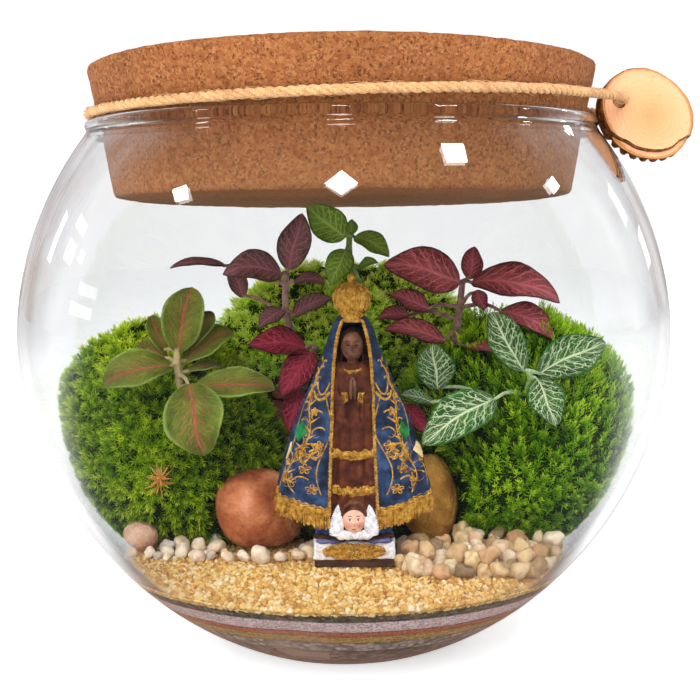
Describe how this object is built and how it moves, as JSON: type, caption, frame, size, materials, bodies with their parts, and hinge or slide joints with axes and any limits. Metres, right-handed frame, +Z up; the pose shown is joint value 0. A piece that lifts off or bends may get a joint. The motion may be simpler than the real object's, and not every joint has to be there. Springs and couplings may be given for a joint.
{
  "type": "glass plant terrarium",
  "caption": "Round glass bowl with a cork lid and a twine tie, planted with moss and fittonia over layered sand, with stones, pebbles and a painted figurine.",
  "frame": {"origin": "centre of the bowl's flat foot", "axes": "+Z up the bowl's axis, -Y to the front that the figurine faces, +X to the side with the tag"},
  "size_m": [0.2091, 0.2, 0.1804],
  "materials": {
    "clear_glass": "clear polished blown glass",
    "cork": "bonded cork granules, sanded",
    "jute": "twisted jute twine",
    "branch_wood": "sanded slice of a branch with dark bark",
    "dark_gravel": "fine dark gravel",
    "grey_gravel": "fine grey gravel",
    "ochre_sand": "ochre sand",
    "terracotta_sand": "terracotta sand",
    "pink_sand": "pale pink sand",
    "soil": "dark potting soil",
    "yellow_sand": "coarse yellow sand",
    "brown_stone": "smooth river stone",
    "tan_stone": "smooth river stone",
    "pink_stone": "smooth river stone",
    "green_pink_leaf": "green leaf with pink veins",
    "purple_leaf": "purple leaf with a pink midrib",
    "lime_leaf": "lime green leaf with light veins",
    "crimson_leaf": "crimson leaf with dark rims",
    "white_vein_leaf": "dark green leaf with a white net of veins",
    "green_moss": "dense haircap moss",
    "lime_moss": "dense light haircap moss",
    "pebbles": "mixed small pebbles",
    "painted_resin": "cast resin, hand painted"
  },
  "bodies": {
    "root": {"glass_bowl": "clear_glass", "cork_lid": "cork", "twine": "jute", "wood_tag": "branch_wood", "dark_gravel": "dark_gravel", "grey_gravel": "grey_gravel", "ochre_sand": "ochre_sand", "terracotta_sand": "terracotta_sand", "pink_sand": "pink_sand", "dark_soil": "soil", "yellow_sand": "yellow_sand", "soil_mound": "soil", "stone_brown": "brown_stone", "stone_tan": "tan_stone", "stone_pink": "pink_stone", "fittonia_left": "green_pink_leaf", "fittonia_purple": "purple_leaf", "fittonia_lime": "lime_leaf", "fittonia_crimson": "crimson_leaf", "fittonia_low": "crimson_leaf", "fittonia_sprig": "crimson_leaf", "fittonia_white": "white_vein_leaf", "moss_left": "green_moss", "moss_right": "green_moss", "moss_back": "lime_moss", "pebbles_right": "pebbles", "pebbles_left": "pebbles", "figurine": "painted_resin"}
  },
  "joints": []
}
